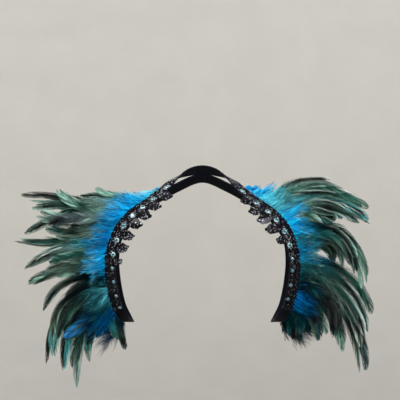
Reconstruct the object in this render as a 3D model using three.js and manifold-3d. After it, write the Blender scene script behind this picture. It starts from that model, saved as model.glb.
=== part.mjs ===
// A feather shawl collar: one beaded band that runs behind the neck, down the front of each
// shoulder, under the arm and up the back, with a fringe of dyed rooster feathers round each
// armhole. Beaded leaves and cut stones are sewn on the front of the band.
// Millimetres, +Z up. The wearer faces -Y, so the wearer's left is +X. The origin is at the
// nape, on the line along which the band is sewn.
import * as THREE from "three";
import { mergeVertices } from "three/addons/utils/BufferGeometryUtils.js";
import Module from "manifold-3d";

const wasm = await Module();
wasm.setup();

// Driving dimensions
const BAND_OUTER = 10; // from the band's line of sewing to the edge that carries the feathers
const BAND_INNER = 8; // and to the edge with the leaves
const BAND_THICK = 2;
const BAND_STEPS = 60; // cross-sections round one armhole
const LEAF_GAP = 0.9; // between a leaf and the band's face, filled by its stitches
const STONE_GAP = 0.75; // between a stone's setting and the band's face
const FRINGE_GAP = 0.6; // between the feathers' roots and the band's edge

const NAPE_SEAM = { length: 20, from: 5, to: 17, thick: 3.2 }; // where the two runs of band meet

const LEAF_WIDTH = 0.54; // share of its length
const LEAF_THICK = 2.2;
const LEAF_ROOT = -5; // the leaf's root, across the band from the line of sewing
const LEAF_ABOVE = 7; // along the band, from a stone up to the root of the leaf beside it
const LEAF_LEAN = 36; // degrees that a leaf leans up the band, towards the neck
const LEAF_DROOP = 14; // degrees that it bends down where it passes the band's edge
const LEAF_FOLD = 4; // from its root to that bend
const LEAF_TEETH = 3; // points on each side of a leaf
const LEAF_NOTCH = 0.72; // how far in the notch between two points goes
const LEAF_SKEW = 0.8; // below 1 the leaf is widest nearer its root

const STONE_SIDES = 8;
const STONE_ACROSS = -2.6; // across the band from the line of sewing
const LARGE_STONE = { girdle: 4.2, table: 2.3, height: 2.8 };
const SMALL_STONE = { girdle: 2.8, table: 1.5, height: 2 };
const SETTING_RIM = 0.7; // the dark setting stands out this far round the stone
const SETTING_HEIGHT = 0.9;

const DOWN_FIRST = 7; // the fluff at the feathers' roots runs between these steps of the band
const DOWN_LAST = 52;
const DOWN_LOBES = 13;
const DOWN_LOBE_DEPTH = 0.14; // share of the fluff's length
const DOWN_END_STEPS = 4; // the fluff thins out over this many steps at each end
const DOWN_END_SHARE = 0.45; // to this share of its length
const SPLAY_UP = 8; // degrees that the fluff leans out from the body on top of the shoulder
const SPLAY_DOWN = 44; // and under the arm

const FEATHER_ROOT = { beyond: 9, above: 1.5 }; // from the band's edge, inside the fluff
const FEATHER_THICK = 2.4;
const FEATHER_SIDES = 4;
const FEATHER_TURN = 0.8; // how much a feather's flat side turns to the front or the back
const BACK_SHARE = 0.8; // the back feathers' length against those on the front
const BACK_SHIFT = 9; // how far they are moved along the band, so the rows interleave

// The band's route round the left armhole: from the nape over the front of the shoulder, under
// the arm and up the back to the nape again. faces is the way that the band's outer side looks,
// in degrees: 90 is up, 0 straight ahead, -90 down and -180 back.
const BAND_ROUTE = [
  { x: 0, y: 0, z: 0, faces: 140 }, // nape
  { x: 27, y: -5, z: -6, faces: 128 },
  { x: 50, y: -25, z: -20, faces: 100 }, // side of the neck
  { x: 67, y: -46, z: -37, faces: 76 },
  { x: 93, y: -67, z: -59, faces: 54 }, // collar bone
  { x: 121, y: -82, z: -81, faces: 36 },
  { x: 141, y: -89, z: -107, faces: 20 },
  { x: 153, y: -91, z: -140, faces: 7 }, // front of the shoulder
  { x: 156, y: -87, z: -172, faces: -6 },
  { x: 152, y: -78, z: -208, faces: -21 },
  { x: 145, y: -63, z: -238, faces: -42 },
  { x: 135, y: -45, z: -259, faces: -65 },
  { x: 128, y: -24, z: -267, faces: -90 }, // under the arm
  { x: 134, y: -4, z: -259, faces: -115 },
  { x: 145, y: 12, z: -239, faces: -137 },
  { x: 154, y: 28, z: -203, faces: -160 },
  { x: 158, y: 38, z: -160, faces: -178 }, // shoulder blade
  { x: 152, y: 40, z: -122, faces: -192 },
  { x: 128, y: 34, z: -88, faces: -206 },
  { x: 92, y: 24, z: -60, faces: -216 },
  { x: 46, y: 14, z: -34, faces: -222 },
  { x: 0, y: 14, z: -17, faces: -220 }, // centre back, below the nape
];

// The trim on each side, from the neck down. large and small: where its stones are sewn, along the
// band from the nape. leaves: how long the leaves are, one beside each stone from the second on.
const TRIM = {
  left: {
    large: [101, 136, 161, 183, 207, 232],
    small: [256, 277, 303, 329],
    leaves: [22, 27, 30, 30, 21],
  },
  right: {
    large: [88, 124, 149, 173, 196, 223, 248],
    small: [273, 297, 323, 347],
    leaves: [28, 26, 28, 28, 28, 26, 18],
  },
};

// The band's cross-section: across from its line of sewing, and out from its middle.
const BAND_SECTION = [
  { across: (BAND_OUTER - BAND_INNER) / 2, out: BAND_THICK / 2 },
  { across: BAND_OUTER, out: BAND_THICK / 2 },
  { across: BAND_OUTER, out: -BAND_THICK / 2 },
  { across: (BAND_OUTER - BAND_INNER) / 2, out: -BAND_THICK / 2 },
  { across: -BAND_INNER, out: -BAND_THICK / 2 },
  { across: -BAND_INNER, out: BAND_THICK / 2 },
];

// The fluff's cross-section: along the feathers from the band's edge, and across them.
const DOWN_SECTION = [
  { along: 0, across: -0.5 },
  { along: 12, across: -6.5 },
  { along: 28, across: -5 },
  { along: 40, across: 0 },
  { along: 28, across: 5 },
  { along: 12, across: 6.5 },
  { along: 0, across: 0.5 },
];

// One row for each lock of feathers, from the neck down the front of the armhole. at: where it
// is sewn, along the band from the nape. side and height: its tip, from the nape. ahead: how far
// its tip stands in front of its root. bow: how far its middle stands above the straight line.
const LOCKS_RIGHT = [
  { at: 135, side: 184, height: -34, ahead: 12, bow: -5, wide: 11 },
  { at: 142, side: 215, height: -53, ahead: 8, bow: 4, wide: 16 },
  { at: 150, side: 292, height: -70, ahead: 30, bow: 4, wide: 15 },
  { at: 160, side: 309, height: -46, ahead: 16, bow: 0, wide: 12 },
  { at: 164, side: 302, height: -112, ahead: 24, bow: 17, wide: 14 },
  { at: 172, side: 247, height: -36, ahead: 22, bow: -20, wide: 14 },
  { at: 188, side: 273, height: -73, ahead: 40, bow: -8, wide: 14 },
  { at: 200, side: 259, height: -95, ahead: 44, bow: 10, wide: 18 },
  { at: 208, side: 264, height: -102, ahead: 34, bow: -8, wide: 17 },
  { at: 216, side: 317, height: -124, ahead: 20, bow: -9, wide: 9 },
  { at: 234, side: 298, height: -170, ahead: 38, bow: 15, wide: 15 },
  { at: 246, side: 256, height: -158, ahead: 46, bow: 3, wide: 15 },
  { at: 258, side: 293, height: -196, ahead: 30, bow: 4, wide: 17 },
  { at: 288, side: 268, height: -241, ahead: 26, bow: 22, wide: 14 },
  { at: 293, side: 252, height: -316, ahead: 34, bow: 30, wide: 16 },
  { at: 297, side: 264, height: -332, ahead: 20, bow: 30, wide: 14 },
  { at: 301, side: 247, height: -316, ahead: 44, bow: 24, wide: 17 },
  { at: 306, side: 237, height: -321, ahead: 26, bow: 20, wide: 15 },
  { at: 311, side: 232, height: -340, ahead: 36, bow: 20, wide: 17 },
  { at: 320, side: 212, height: -372, ahead: 30, bow: 18, wide: 17 },
  { at: 330, side: 195, height: -313, ahead: 24, bow: 8, wide: 17 },
  { at: 345, side: 232, height: -284, ahead: 70, bow: 2, wide: 19 },
  { at: 352, side: 144, height: -294, ahead: 14, bow: 2, wide: 13 },
  { at: 366, side: 133, height: -313, ahead: 6, bow: 0, wide: 10 },
];
const LOCKS_LEFT = [
  { at: 140, side: 203, height: -24, ahead: 10, bow: 6, wide: 9 },
  { at: 148, side: 229, height: -34, ahead: 14, bow: 18, wide: 16 },
  { at: 156, side: 242, height: -41, ahead: 26, bow: 19, wide: 17 },
  { at: 164, side: 283, height: -68, ahead: 18, bow: 29, wide: 18 },
  { at: 172, side: 280, height: -88, ahead: 30, bow: 25, wide: 16 },
  { at: 179, side: 264, height: -92, ahead: 38, bow: 20, wide: 17 },
  { at: 190, side: 200, height: -92, ahead: 44, bow: 8, wide: 17 },
  { at: 212, side: 264, height: -167, ahead: 24, bow: 36, wide: 17 },
  { at: 217, side: 275, height: -194, ahead: 30, bow: 40, wide: 16 },
  { at: 222, side: 258, height: -175, ahead: 40, bow: 34, wide: 16 },
  { at: 227, side: 250, height: -169, ahead: 46, bow: 32, wide: 15 },
  { at: 232, side: 254, height: -178, ahead: 34, bow: 32, wide: 14 },
  { at: 256, side: 283, height: -246, ahead: 26, bow: 24, wide: 17 },
  { at: 262, side: 276, height: -275, ahead: 34, bow: 24, wide: 18 },
  { at: 268, side: 266, height: -303, ahead: 24, bow: 24, wide: 17 },
  { at: 274, side: 271, height: -282, ahead: 42, bow: 20, wide: 16 },
  { at: 281, side: 275, height: -343, ahead: 22, bow: 28, wide: 14 },
  { at: 288, side: 264, height: -345, ahead: 32, bow: 26, wide: 15 },
  { at: 298, side: 222, height: -268, ahead: 62, bow: 20, wide: 18 },
  { at: 302, side: 216, height: -284, ahead: 54, bow: 22, wide: 18 },
  { at: 315, side: 237, height: -311, ahead: 24, bow: 16, wide: 14 },
  { at: 330, side: 196, height: -292, ahead: 34, bow: 10, wide: 17 },
  { at: 348, side: 166, height: -284, ahead: 20, bow: 4, wide: 15 },
  { at: 364, side: 150, height: -290, ahead: 8, bow: 0, wide: 11 },
];

// Share of a feather's width at each step from its root to its tip.
const FEATHER_OUTLINE = [0.35, 0.75, 1, 1, 0.76, 0];

const MATERIALS = {
  band: finish(0x0c0d16, 0.75),
  leaf: finish(0x101014, 0.35),
  stone: finish(0x9fd6da, 0.1),
  feathers: finish(0x1d5f66, 0.6),
};

function finish(color, roughness) {
  return new THREE.MeshStandardMaterial({ color, roughness, metalness: 0 });
}

// The route as a closed ring: the left half as tabled, then its mirror image back to the nape.
const inner = BAND_ROUTE.slice(1, -1).reverse();
const ring = [...BAND_ROUTE, ...inner.map((row) => ({ ...row, x: -row.x }))];
const ROUTE_DIVISIONS = 40 * ring.length; // for measuring lengths along it
const route = smoothRing(ring.map(({ x, y, z }) => new THREE.Vector3(x, y, z)));
const facing = smoothRing(ring.map(({ faces }) => new THREE.Vector3(faces, 0, 0)));
const SIDE_LENGTH = route.getLength() / 2;

function smoothRing(points) {
  const curve = new THREE.CatmullRomCurve3(points, true, "catmullrom", 0.5);
  curve.arcLengthDivisions = ROUTE_DIVISIONS;
  return curve;
}

// The band's frame at a distance along it from the nape: its middle, the way it runs, the way
// its outer side looks, and the way across it to the edge that carries the feathers.
function frameAt(at) {
  const t = route.getUtoTmapping(0, at < 0 ? at + 2 * SIDE_LENGTH : at);
  const angle = THREE.MathUtils.degToRad(facing.getPoint(t).x);
  const along = route.getTangent(t);
  const out = new THREE.Vector3(0, -Math.cos(angle), Math.sin(angle));
  out.addScaledVector(along, -out.dot(along)).normalize();
  const across = new THREE.Vector3().crossVectors(out, along);
  return { middle: route.getPoint(t), along, across, out };
}

function onBand(at, across, out) {
  const frame = frameAt(at);
  return frame.middle.addScaledVector(frame.across, across).addScaledVector(frame.out, out);
}

// Moves every vertex of a geometry to where place(vertex) says, and keeps only positions.
function bend(geometry, place) {
  const bent = geometry.clone();
  bent.deleteAttribute("normal");
  bent.deleteAttribute("uv");
  const position = bent.getAttribute("position");
  const vertex = new THREE.Vector3();
  for (let i = 0; i < position.count; i += 1) {
    const moved = place(vertex.fromBufferAttribute(position, i));
    position.setXYZ(i, moved.x, moved.y, moved.z);
  }
  return mergeVertices(bent, 1e-4);
}

function solid(geometry) {
  return new wasm.Manifold(
    new wasm.Mesh({
      numProp: 3,
      vertProperties: new Float32Array(geometry.getAttribute("position").array),
      triVerts: new Uint32Array(geometry.getIndex().array),
    }),
  );
}

function fused(geometries) {
  const joined = geometries.map(solid).reduce((sum, piece) => sum.add(piece));
  const mesh = joined.getMesh();
  return new THREE.BufferGeometry()
    .setAttribute("position", new THREE.BufferAttribute(mesh.vertProperties, 3))
    .setIndex(new THREE.BufferAttribute(mesh.triVerts, 1));
}

function node(name, geometry, material) {
  const mesh = new THREE.Mesh(geometry, material);
  mesh.name = name;
  return mesh;
}

// The band: one closed ring in a figure of eight, its two runs sewn together at the nape.
function bandGeometry() {
  const corners = BAND_SECTION.length;
  const torus = new THREE.TorusGeometry(2, 1, corners, 2 * BAND_STEPS);
  const turn = 2 * Math.PI;
  const loop = bend(torus, (p) => {
    const step = Math.round((Math.atan2(p.y, p.x) / turn) * 2 * BAND_STEPS);
    const corner = Math.round((Math.atan2(p.z, Math.hypot(p.x, p.y) - 2) / turn) * corners);
    const { across, out } = BAND_SECTION[(corner + corners) % corners];
    return onBand((step * SIDE_LENGTH) / BAND_STEPS, across, out);
  });
  const seamWidth = NAPE_SEAM.to - NAPE_SEAM.from;
  const patch = new THREE.BoxGeometry(NAPE_SEAM.length, seamWidth, NAPE_SEAM.thick, 2, 1, 1);
  const seam = bend(patch, (p) => onBand(p.x, p.y + NAPE_SEAM.from + seamWidth / 2, p.z));
  return fused([loop, seam]);
}

// A leaf's outline, root at the origin and tip on +X, with pointed lobes like a row of bugle beads.
function leafOutline(length) {
  const edge = [];
  for (let i = 0; i < 2 * LEAF_TEETH; i += 1) {
    const share = (i + 1) / (2 * LEAF_TEETH + 1);
    const swell = Math.sin(Math.PI * share ** LEAF_SKEW) * (i % 2 ? LEAF_NOTCH : 1);
    edge.push(new THREE.Vector2(share * length, (swell * LEAF_WIDTH * length) / 2));
  }
  const opposite = edge.map((p) => new THREE.Vector2(p.x, -p.y));
  const tip = new THREE.Vector2(length, 0);
  return new THREE.Shape([new THREE.Vector2(0, 0), ...opposite, tip, ...edge.reverse()]);
}

// A leaf is sewn to the band's outer side, reaches past its inner edge and droops there.
function leafGeometry(at, length) {
  const lean = THREE.MathUtils.degToRad(LEAF_LEAN);
  const droop = THREE.MathUtils.degToRad(LEAF_DROOP);
  const outline = leafOutline(length);
  const plate = new THREE.ExtrudeGeometry(outline, { depth: LEAF_THICK, bevelEnabled: false });
  const low = BAND_THICK / 2 + LEAF_GAP;
  return bend(plate, (p) => {
    const up = p.x * Math.sin(lean) - p.y * Math.cos(lean);
    const over = p.x * Math.cos(lean) + p.y * Math.sin(lean);
    const past = Math.max(0, over - LEAF_FOLD);
    const across = LEAF_ROOT - over + past * (1 - Math.cos(droop));
    return onBand(at - up, across, low + p.z - past * Math.sin(droop));
  });
}

// A cut stone in its setting, turned about +Z: a flat table, a ring of facets and the dark rim.
function stoneGeometry({ girdle, table, height }) {
  const rim = girdle + SETTING_RIM;
  const profile = [
    new THREE.Vector2(0, 0),
    new THREE.Vector2(rim, 0),
    new THREE.Vector2(rim, SETTING_HEIGHT),
    new THREE.Vector2(girdle, SETTING_HEIGHT),
    new THREE.Vector2(table, height),
    new THREE.Vector2(0, height),
  ];
  return new THREE.LatheGeometry(profile, STONE_SIDES).rotateX(Math.PI / 2);
}

function stoneMesh(name, size, at) {
  const { along, across, out } = frameAt(at);
  const mesh = node(name, stoneGeometry(size), MATERIALS.stone);
  mesh.quaternion.setFromRotationMatrix(new THREE.Matrix4().makeBasis(along, across, out));
  mesh.position.copy(onBand(at, STONE_ACROSS, BAND_THICK / 2 + STONE_GAP));
  return mesh;
}

// The soft fluff at the feathers' roots: a lobed ruff that follows the band's outer edge, with a
// cross-section at each of the band's own steps.
function downGeometry() {
  const steps = DOWN_LAST - DOWN_FIRST;
  const tube = new THREE.CylinderGeometry(1, 1, steps, DOWN_SECTION.length, steps);
  return bend(tube, (p) => {
    const step = steps / 2 + p.y;
    const at = ((DOWN_FIRST + step) * SIDE_LENGTH) / BAND_STEPS;
    const { along, across, out } = frameAt(at);
    const splay = THREE.MathUtils.degToRad(
      THREE.MathUtils.mapLinear(out.z, 1, -1, SPLAY_UP, SPLAY_DOWN),
    );
    const lean = new THREE.Vector3()
      .addScaledVector(across, Math.cos(splay))
      .addScaledVector(out, Math.sin(splay));
    const thick = new THREE.Vector3().crossVectors(along, lean);
    const lobe = 1 - DOWN_LOBE_DEPTH * Math.abs(Math.sin((Math.PI * DOWN_LOBES * step) / steps));
    const fromEnd = Math.min(step, steps - step) / DOWN_END_STEPS;
    const full = Math.min(1, THREE.MathUtils.lerp(DOWN_END_SHARE, 1, fromEnd));
    const section = sectionPoint(p);
    return onBand(at, BAND_OUTER + FRINGE_GAP, 0)
      .addScaledVector(lean, section.along * lobe * full)
      .addScaledVector(thick, section.across * full);
  });
}

// The fluff section's corner that stands for a vertex on the round tube, or its middle on a cap.
function sectionPoint(p) {
  const reach = Math.max(...DOWN_SECTION.map((corner) => corner.along));
  if (Math.hypot(p.x, p.z) < 0.5) return { along: reach / 2, across: 0 };
  const turn = Math.atan2(p.x, p.z) / (2 * Math.PI);
  const count = DOWN_SECTION.length;
  return DOWN_SECTION[(Math.round(turn * count) + count) % count];
}

// One lock of feathers as a thin curved blade from its root in the fluff to its tip. share is its
// length against the tabled one.
function featherGeometry(lock, root, facingOut, share) {
  const tip = new THREE.Vector3(lock.side, root.y - lock.ahead, lock.height).lerp(root, 1 - share);
  const straight = tip.clone().sub(root);
  const upward = new THREE.Vector3(-straight.z, 0, straight.x).normalize();
  const middle = root.clone().lerp(tip, 0.5).addScaledVector(upward, 2 * lock.bow * share);
  const spine = new THREE.QuadraticBezierCurve3(root, middle, tip);
  const steps = FEATHER_OUTLINE.length - 1;
  const blade = new THREE.ConeGeometry(1, steps, FEATHER_SIDES, steps);
  return bend(blade, (p) => {
    const step = Math.round(steps / 2 + p.y);
    const tangent = spine.getTangent(step / steps);
    const side = new THREE.Vector3().crossVectors(tangent, facingOut).normalize();
    const face = new THREE.Vector3().crossVectors(side, tangent).normalize();
    const corner = new THREE.Vector2(p.x, p.z).normalize().multiplyScalar(FEATHER_OUTLINE[step] / 2);
    return spine
      .getPoint(step / steps)
      .addScaledVector(side, corner.x * lock.wide)
      .addScaledVector(face, corner.y * FEATHER_THICK);
  });
}

// The locks on the front, and the same rows turned to the back for the side that is not seen.
function fringeGeometry(locks) {
  const front = locks.map((lock) => lockGeometry(lock, lock.at, FEATHER_TURN, 1));
  const back = locks.map((lock) => {
    const turned = { ...lock, ahead: -lock.ahead };
    return lockGeometry(turned, SIDE_LENGTH - lock.at + BACK_SHIFT, -FEATHER_TURN, BACK_SHARE);
  });
  return fused([downGeometry(), ...front, ...back]);
}

function lockGeometry(lock, at, turn, share) {
  const facingOut = frameAt(at).out.add(new THREE.Vector3(0, -turn, 0)).normalize();
  const root = onBand(at, BAND_OUTER + FEATHER_ROOT.beyond, FEATHER_ROOT.above);
  return featherGeometry(lock, root, facingOut, share);
}

function trimmings(side) {
  const group = new THREE.Group();
  const { large, small, leaves } = TRIM[side];
  const places = [...large, ...small];
  places.forEach((at, i) => {
    const size = i < large.length ? LARGE_STONE : SMALL_STONE;
    group.add(stoneMesh(`stone_${side}_${i + 1}`, size, at));
  });
  leaves.forEach((length, i) => {
    const leaf = leafGeometry(places[i + 1] - LEAF_ABOVE, length);
    group.add(node(`leaf_${side}_${i + 1}`, leaf, MATERIALS.leaf));
  });
  return group;
}

const collar = new THREE.Group();
collar.add(node("collar_band", bandGeometry(), MATERIALS.band));

const leftSide = trimmings("left");
leftSide.add(node("feather_fringe_left", fringeGeometry(LOCKS_LEFT), MATERIALS.feathers));

// The right side is made as the left one is and turned over, with its own rows of feathers.
const rightSide = trimmings("right");
rightSide.add(node("feather_fringe_right", fringeGeometry(LOCKS_RIGHT), MATERIALS.feathers));
rightSide.scale.x = -1;

collar.add(leftSide, rightSide);

export default collar;
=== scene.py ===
import math
from collections import namedtuple

import bpy
import numpy as np
from bpy.props import FloatProperty, FloatVectorProperty, IntProperty, PointerProperty
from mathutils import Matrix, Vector


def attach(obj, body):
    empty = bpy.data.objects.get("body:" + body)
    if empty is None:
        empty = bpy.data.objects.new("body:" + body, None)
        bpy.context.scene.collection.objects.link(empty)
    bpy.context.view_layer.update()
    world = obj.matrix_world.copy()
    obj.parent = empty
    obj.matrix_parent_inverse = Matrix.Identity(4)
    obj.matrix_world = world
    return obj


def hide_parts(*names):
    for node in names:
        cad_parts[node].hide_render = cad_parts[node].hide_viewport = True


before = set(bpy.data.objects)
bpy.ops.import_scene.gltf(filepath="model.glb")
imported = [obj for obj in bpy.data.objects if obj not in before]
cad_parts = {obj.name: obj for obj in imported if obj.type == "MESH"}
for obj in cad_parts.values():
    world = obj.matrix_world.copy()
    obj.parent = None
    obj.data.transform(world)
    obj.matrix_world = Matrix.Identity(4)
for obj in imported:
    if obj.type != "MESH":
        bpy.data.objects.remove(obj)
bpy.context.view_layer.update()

bl_info = {
    "name": "Feather Shawl Collar",
    "version": (1, 0, 0),
    "blender": (4, 5, 0),
    "location": "View3D > Sidebar > Collar",
    "description": "Dresses a packed shawl collar with ribbon, beads, cut stones, feathers and down",
    "category": "Add Mesh",
}

MM = 0.001

# The band's route round the left armhole, in millimetres, from the nape over the front of the
# shoulder, under the arm and up the back. faces is the way its outer side looks, in degrees.
RouteRow = namedtuple("RouteRow", "x y z faces")
BAND_ROUTE = [RouteRow(*row) for row in (
    (0, 0, 0, 140),
    (27, -5, -6, 128),
    (50, -25, -20, 100),
    (67, -46, -37, 76),
    (93, -67, -59, 54),
    (121, -82, -81, 36),
    (141, -89, -107, 20),
    (153, -91, -140, 7),
    (156, -87, -172, -6),
    (152, -78, -208, -21),
    (145, -63, -238, -42),
    (135, -45, -259, -65),
    (128, -24, -267, -90),
    (134, -4, -259, -115),
    (145, 12, -239, -137),
    (154, 28, -203, -160),
    (158, 38, -160, -178),
    (152, 40, -122, -192),
    (128, 34, -88, -206),
    (92, 24, -60, -216),
    (46, 14, -34, -222),
    (0, 14, -17, -220),
)]

# The trim on each side, in millimetres from the neck down. large and small: where its stones are
# sewn, along the band from the nape. leaves: how long the leaves beside the stones are, from the
# second stone on.
Trim = namedtuple("Trim", "large small leaves")
TRIM = {
    "left": Trim((101, 136, 161, 183, 207, 232), (256, 277, 303, 329), (22, 27, 30, 30, 21)),
    "right": Trim((88, 124, 149, 173, 196, 223, 248), (273, 297, 323, 347), (28, 26, 28, 28, 28, 26, 18)),
}

# One row for each lock of feathers on the front, in millimetres. at: where it is sewn, along the
# band from the nape. side and height: its tip. ahead: how far the tip stands before the root.
# bow: how far the middle stands above the straight line. point: 0 is a round tip, 1 a sharp one.
# body, tip and edge are its tints.
Lock = namedtuple("Lock", "at side height ahead bow wide point body tip edge")
LOCKS = {
    "right": [Lock(*row) for row in (
        (135, 184, -34, 12, -5, 11, 0.1, "mint", "mint", "black"),
        (142, 215, -53, 8, 4, 16, 0.3, "green", "grey", "mint"),
        (150, 292, -70, 30, 4, 15, 0.2, "green", "grey", "mint"),
        (160, 309, -46, 16, 0, 12, 0.1, "black", "black", "olive"),
        (164, 302, -112, 24, 17, 14, 0.1, "green", "black", "mint"),
        (172, 247, -36, 22, -20, 14, 0.0, "green", "mint", "black"),
        (188, 273, -73, 40, -8, 14, 0.2, "black", "grey", "mint"),
        (200, 259, -95, 44, 10, 18, 0.3, "slate", "black", "slate"),
        (208, 264, -102, 34, -8, 17, 0.3, "black", "green", "grey"),
        (216, 317, -124, 20, -9, 9, 0.6, "green", "green", "black"),
        (234, 298, -170, 38, 15, 15, 0.6, "green", "olive", "grey"),
        (246, 256, -158, 46, 3, 15, 0.2, "green", "green", "grey"),
        (258, 293, -196, 30, 4, 17, 0.8, "grey", "mint", "olive"),
        (288, 268, -241, 26, 22, 14, 0.5, "black", "black", "black"),
        (293, 252, -316, 34, 30, 16, 0.5, "black", "teal", "grey"),
        (297, 264, -332, 20, 30, 14, 0.7, "black", "black", "olive"),
        (301, 247, -316, 44, 24, 17, 0.6, "black", "green", "mint"),
        (306, 237, -321, 26, 20, 15, 0.6, "black", "teal", "green"),
        (311, 232, -340, 36, 20, 17, 0.6, "black", "teal", "mint"),
        (320, 212, -372, 30, 18, 17, 0.7, "green", "grey", "teal"),
        (330, 195, -313, 24, 8, 17, 0.6, "black", "green", "teal"),
        (345, 232, -284, 70, 2, 19, 0.4, "navy", "blue", "petrol"),
        (352, 144, -294, 14, 2, 13, 0.6, "teal", "green", "black"),
        (366, 133, -313, 6, 0, 10, 0.1, "green", "green", "teal"),
    )],
    "left": [Lock(*row) for row in (
        (140, 203, -24, 10, 6, 9, 0.9, "grey", "olive", "black"),
        (148, 229, -34, 14, 18, 16, 0.4, "green", "green", "black"),
        (156, 242, -41, 26, 19, 17, 0.3, "green", "green", "grey"),
        (164, 283, -68, 18, 29, 18, 0.0, "green", "green", "olive"),
        (172, 280, -88, 30, 25, 16, 0.0, "green", "teal", "mint"),
        (179, 264, -92, 38, 20, 17, 0.1, "black", "green", "grey"),
        (190, 200, -92, 44, 8, 17, 0.9, "green", "grey", "green"),
        (212, 264, -167, 24, 36, 17, 0.6, "black", "black", "green"),
        (217, 275, -194, 30, 40, 16, 0.8, "green", "mint", "black"),
        (222, 258, -175, 40, 34, 16, 0.5, "black", "black", "green"),
        (227, 250, -169, 46, 32, 15, 0.5, "green", "black", "grey"),
        (232, 254, -178, 34, 32, 14, 0.6, "green", "green", "olive"),
        (256, 283, -246, 26, 24, 17, 0.0, "green", "green", "olive"),
        (262, 276, -275, 34, 24, 18, 0.3, "black", "green", "frost"),
        (268, 266, -303, 24, 24, 17, 0.4, "black", "olive", "frost"),
        (274, 271, -282, 42, 20, 16, 0.3, "green", "black", "frost"),
        (281, 275, -343, 22, 28, 14, 0.1, "black", "slate", "black"),
        (288, 264, -345, 32, 26, 15, 0.7, "black", "olive", "frost"),
        (298, 222, -268, 62, 20, 18, 0.4, "black", "black", "black"),
        (302, 216, -284, 54, 22, 18, 0.5, "black", "black", "black"),
        (315, 237, -311, 24, 16, 14, 0.3, "green", "mint", "grey"),
        (330, 196, -292, 34, 10, 17, 0.7, "black", "petrol", "olive"),
        (348, 166, -284, 20, 4, 15, 0.8, "petrol", "petrol", "green"),
        (364, 150, -290, 8, 0, 11, 0.8, "petrol", "petrol", "teal"),
    )],
}

# The down along the band, from the neck to under the arm. at: millimetres from the nape. long: its
# length in millimetres. drop: degrees below level that it points. ahead: how much it leans away
# from the body. light: how bright its tint is, which is painted light and shade as well as dye:
# darker in the gaps and under the arm, brighter where the down is lit.
DownRow = namedtuple("DownRow", "at long drop ahead tint light")
DOWN_ROWS = {
    "right": [DownRow(*row) for row in (
        (85, 5, 60, 0.2, "azure", 1.1),
        (112, 40, 56, 0.2, "cyan", 1.1),
        (140, 60, 26, 0.2, "azure", 1.2),
        (158, 58, 16, 0.2, "azure", 1.0),
        (182, 52, 18, 0.2, "azure", 1.0),
        (196, 46, 14, 0.2, "royal", 0.9),
        (210, 46, 8, 0.3, "azure", 1.0),
        (226, 46, 8, 0.3, "royal", 1.0),
        (246, 46, 10, 0.4, "azure", 1.1),
        (275, 46, 10, 0.5, "azure", 1.2),
        (283, 36, 8, 0.2, "petrol", 0.3),
        (296, 34, 8, 0.2, "petrol", 0.3),
        (307, 36, 2, 0.9, "cyan", 0.8),
        (318, 44, 6, 0.9, "cyan", 0.6),
        (334, 70, 16, 0.8, "petrol", 1.0),
        (348, 88, 16, 0.9, "royal", 0.85),
        (362, 80, 26, 0.8, "navy", 1.0),
        (374, 26, 50, 0.3, "petrol", 0.9),
    )],
    "left": [DownRow(*row) for row in (
        (85, 16, 14, 0.2, "azure", 1.2),
        (116, 60, 6, 0.2, "azure", 1.2),
        (136, 64, -6, 0.2, "cyan", 1.2),
        (156, 48, -10, 0.2, "cyan", 0.9),
        (172, 44, 0, 0.3, "cyan", 0.8),
        (190, 58, -4, 0.3, "azure", 1.4),
        (204, 54, -6, 0.3, "azure", 1.3),
        (215, 44, -10, 0.2, "azure", 1.0),
        (228, 40, -8, 0.2, "teal", 0.8),
        (246, 44, -4, 0.3, "azure", 0.6),
        (266, 46, 6, 0.2, "teal", 0.7),
        (284, 40, 12, 0.1, "petrol", 0.5),
        (300, 30, 12, 0.0, "black", 0.8),
        (314, 40, 16, 0.5, "royal", 0.9),
        (328, 46, 16, 0.6, "royal", 0.9),
        (342, 78, 14, 0.5, "petrol", 0.7),
        (362, 74, 28, 0.5, "petrol", 0.45),
        (374, 24, 60, 0.3, "petrol", 0.3),
    )],
}
BACK_SHARE = 0.8  # the back feathers' length against those on the front
BACK_SHIFT = 9 * MM  # how far they are moved along the band, so the rows interleave
FEATHER_ROOT = (9 * MM, 1.5 * MM)  # beyond the band's edge, and above its middle
FEATHER_TURN = 0.8  # how much a feather's flat side turns to the front or the back

SIDE_SEED = {"left": 11, "right": 23}  # for the chance in how feathers and beads lie


def linear(red, green, blue):
    """A display colour out of 255 as the linear colour that shaders use."""
    shares = (c / 255 for c in (red, green, blue))
    return tuple(s / 12.92 if s <= 0.04045 else ((s + 0.055) / 1.055) ** 2.4 for s in shares)


def length(name, description, millimetres):
    """A length property with its default in millimetres."""
    return FloatProperty(name=name, description=description, default=millimetres * MM,
                         min=0, precision=5, unit="LENGTH")


def colour(name, description, *shown):
    """A colour property with its default as a display colour out of 255."""
    return FloatVectorProperty(name=name, description=description, default=linear(*shown),
                               min=0, max=1, size=3, subtype="COLOR")


def count(name, description, default):
    return IntProperty(name=name, description=description, default=default, min=1)


class CollarBandSettings(bpy.types.PropertyGroup):
    """Sizes and colours of the ribbon band."""

    outer: length("Feather edge", "From the line of sewing to the edge with the feathers", 10)
    inner: length("Leaf edge", "From the line of sewing to the edge with the leaves", 8)
    thick: length("Thickness", "How thick the ribbon is", 2)
    rim: length("Rim", "Radius of the satin cord along the feather edge", 1.5)
    ribbon: colour("Ribbon", "Colour of the woven ribbon", 7, 9, 17)
    satin: colour("Satin", "Colour of the cord along its edge", 10, 14, 32)


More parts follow.
